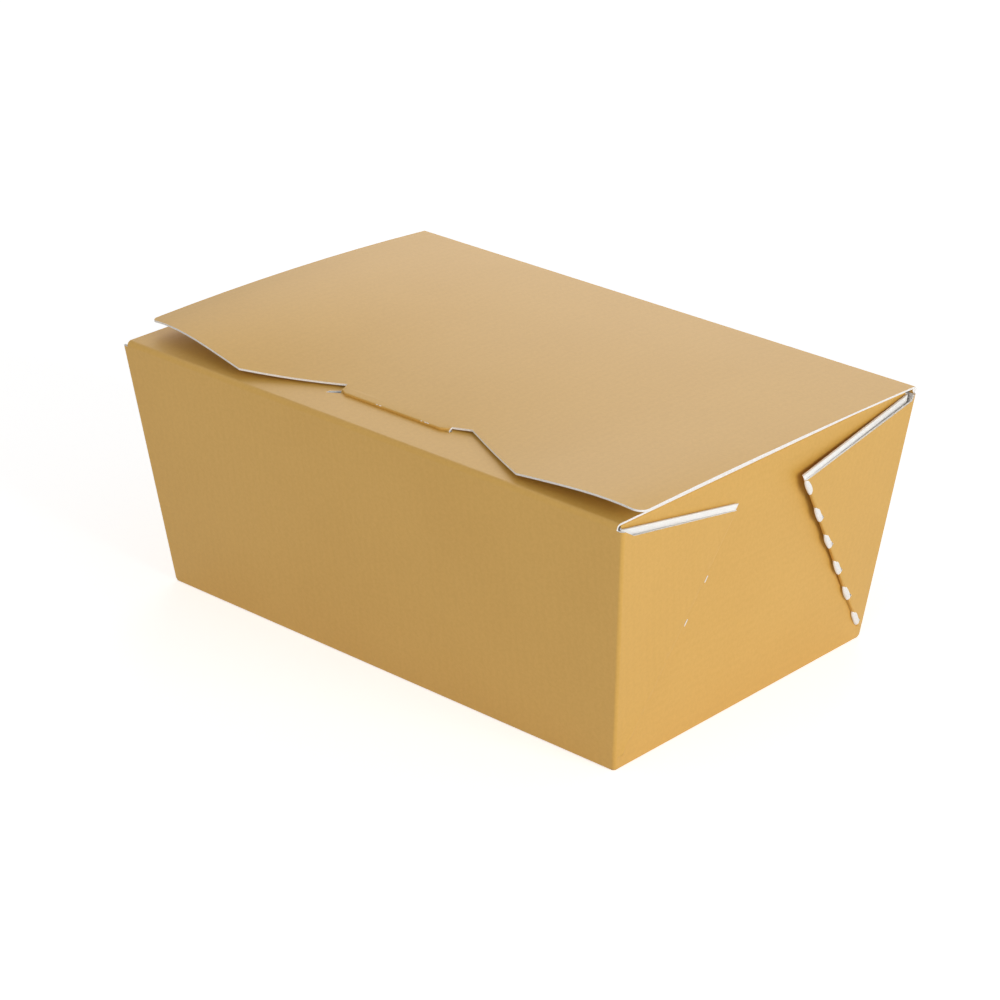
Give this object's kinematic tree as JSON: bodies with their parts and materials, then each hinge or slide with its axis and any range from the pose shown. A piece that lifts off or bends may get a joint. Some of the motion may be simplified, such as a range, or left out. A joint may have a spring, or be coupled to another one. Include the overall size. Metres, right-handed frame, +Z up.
{
  "type": "ballotin box",
  "caption": "Flared chocolate box folded from a sheet of gold board, with webs folded flat on its ends and a hinged tuck lid.",
  "frame": {"origin": "on the floor under the middle of the box", "axes": "+X along the length to the right end, -Y towards the front wall, +Y towards the hinge, +Z up"},
  "size_m": [0.1521, 0.0999, 0.0654],
  "materials": {
    "board": "satin gold outside, matt white inside"
  },
  "bodies": {
    "carton": {"carton": "board"},
    "lid": {"lid": "board"}
  },
  "joints": [
    {"name": "lid_hinge", "type": "hinge", "parent": "carton", "child": "lid", "pos_m": [0, 0.04926, 0.06066], "axis": [-1, 0, 0], "range_deg": [0, 180]}
  ]
}
